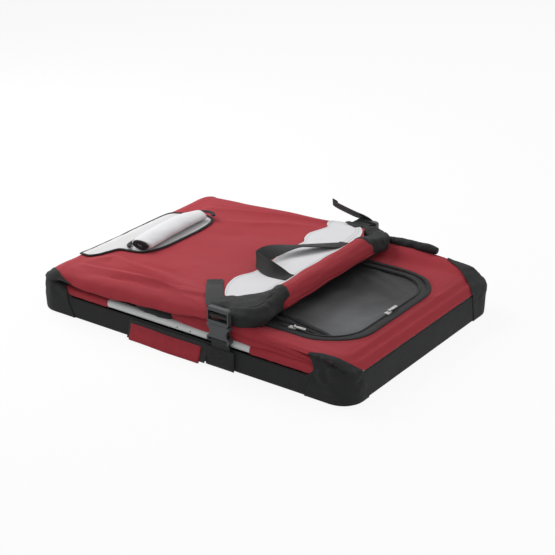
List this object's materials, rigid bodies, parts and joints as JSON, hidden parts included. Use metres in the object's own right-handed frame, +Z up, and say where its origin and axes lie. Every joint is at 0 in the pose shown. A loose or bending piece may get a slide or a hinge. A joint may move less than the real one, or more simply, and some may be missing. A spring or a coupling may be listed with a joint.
{
  "type": "folding pet crate",
  "caption": "Soft-sided fabric crate on a folding tube frame, packed flat, with a mesh door, a rolled window flap, buckled straps, a carrying grip and a top handle.",
  "frame": {"origin": "centre of the underside of the floor, on the surface the crate lies on", "axes": "+X towards the door end, +Y towards the far long side without the grip, +Z up"},
  "size_m": [0.71, 0.5196, 0.1506],
  "materials": {
    "white_tube": "satin powder coat",
    "zinc_steel": "bright zinc",
    "red_nylon": "woven coated nylon",
    "black_nylon": "woven coated nylon",
    "black_binding": "ribbed binding tape",
    "black_mesh": "open knitted mesh",
    "grey_nylon": "woven coated nylon",
    "black_webbing": "ribbed polypropylene webbing",
    "buckle_plastic": "moulded acetal",
    "zip_coil": "woven tape with coil",
    "zip_metal": "nickel plated"
  },
  "bodies": {
    "base": {"floor_panel": "black_nylon", "side_band": "black_nylon", "base_corner_patch_front_near": "black_nylon", "base_corner_patch_front_far": "black_nylon", "base_corner_patch_rear_near": "black_nylon", "base_corner_patch_rear_far": "black_nylon", "base_frame_front": "white_tube", "base_frame_rear": "white_tube", "frame_spigots": "zinc_steel", "frame_rivets": "zinc_steel", "tube_sleeves": "red_nylon", "front_hinge_ears": "white_tube", "rear_hinge_ears": "white_tube", "front_hinge_pins": "zinc_steel", "rear_hinge_pins": "zinc_steel", "front_apron": "red_nylon", "rear_apron": "red_nylon", "side_wall_near": "red_nylon", "side_wall_far": "red_nylon", "lower_strap_near": "black_webbing", "lower_strap_far": "black_webbing", "buckle_socket_near": "buckle_plastic", "buckle_socket_far": "buckle_plastic"},
    "rear_frame": {"rear_frame_tube": "white_tube", "rear_wall": "red_nylon", "window_mesh": "black_mesh", "window_binding": "black_binding", "window_flap": "grey_nylon", "rear_corner_patch_near": "black_nylon", "rear_corner_patch_far": "black_nylon", "roof_roll": "red_nylon", "roof_roll_end_near": "black_nylon", "roof_roll_end_far": "black_nylon", "top_trim": "grey_nylon", "piping": "grey_nylon", "upper_strap_near": "black_webbing", "upper_strap_far": "black_webbing", "handle_tabs": "black_webbing"},
    "front_frame": {"front_frame_tube": "white_tube", "front_wall": "red_nylon", "door_mesh": "black_mesh", "door_binding": "black_binding", "zip_tape": "zip_coil", "front_bar_sleeve": "red_nylon", "front_leg_sleeve_near": "red_nylon", "front_leg_sleeve_far": "red_nylon", "side_fold_near": "red_nylon", "side_fold_far": "red_nylon", "side_roll_far": "black_nylon"},
    "near_plug": {"buckle_plug_near": "buckle_plastic", "strap_loop_near": "black_webbing"},
    "far_plug": {"buckle_plug_far": "buckle_plastic", "strap_tail_far": "black_webbing"},
    "side_grip": {"grip_strap": "black_webbing", "grip_wrap": "red_nylon"},
    "top_handle": {"top_handle": "black_webbing"},
    "near_slider": {"zip_slider_near": "zip_metal"},
    "near_pull": {"zip_pull_near": "zip_metal"},
    "front_slider": {"zip_slider_front": "zip_metal"},
    "front_pull": {"zip_pull_front": "zip_metal"}
  },
  "joints": [
    {"name": "rear_frame_fold", "type": "hinge", "parent": "base", "child": "rear_frame", "pos_m": [-0.304, 0, 0.077], "axis": [0, -1, 0], "range_deg": [0, 97]},
    {"name": "front_frame_fold", "type": "hinge", "parent": "base", "child": "front_frame", "pos_m": [0.304, 0, 0.068], "axis": [0, 1, 0], "range_deg": [0, 97]},
    {"name": "near_buckle_slide", "type": "slide", "parent": "rear_frame", "child": "near_plug", "axis": [0, 0, 1], "range_m": [0, 0.028]},
    {"name": "far_buckle_slide", "type": "slide", "parent": "rear_frame", "child": "far_plug", "axis": [0, 0, 1], "range_m": [0, 0.028]},
    {"name": "side_grip_swing", "type": "hinge", "parent": "base", "child": "side_grip", "pos_m": [0, -0.2474, 0.038], "axis": [-1, 0, 0], "range_deg": [0, 150]},
    {"name": "top_handle_lift", "type": "hinge", "parent": "rear_frame", "child": "top_handle", "pos_m": [0.10717, 0, 0.11338], "axis": [-0.0174, 0.9998, -0.0009], "range_deg": [0, 125]},
    {"name": "near_zip_slide", "type": "slide", "parent": "front_frame", "child": "near_slider", "axis": [1, 0, 0], "range_m": [0, 0.024]},
    {"name": "near_zip_pull_swing", "type": "hinge", "parent": "near_slider", "child": "near_pull", "pos_m": [0.1895, -0.1725, 0.0814], "axis": [0, -1, 0], "range_deg": [0, 135]},
    {"name": "front_zip_slide", "type": "slide", "parent": "front_frame", "child": "front_slider", "axis": [0, 1, 0], "range_m": [-0.055, 0.07]},
    {"name": "front_zip_pull_swing", "type": "hinge", "parent": "front_slider", "child": "front_pull", "pos_m": [0.2895, -0.0215, 0.0814], "axis": [1, 0, 0], "range_deg": [0, 150]}
  ],
  "couplings": [
    {"joint": "front_frame_fold", "follows": "rear_frame_fold", "ratio": 0.35}
  ]
}
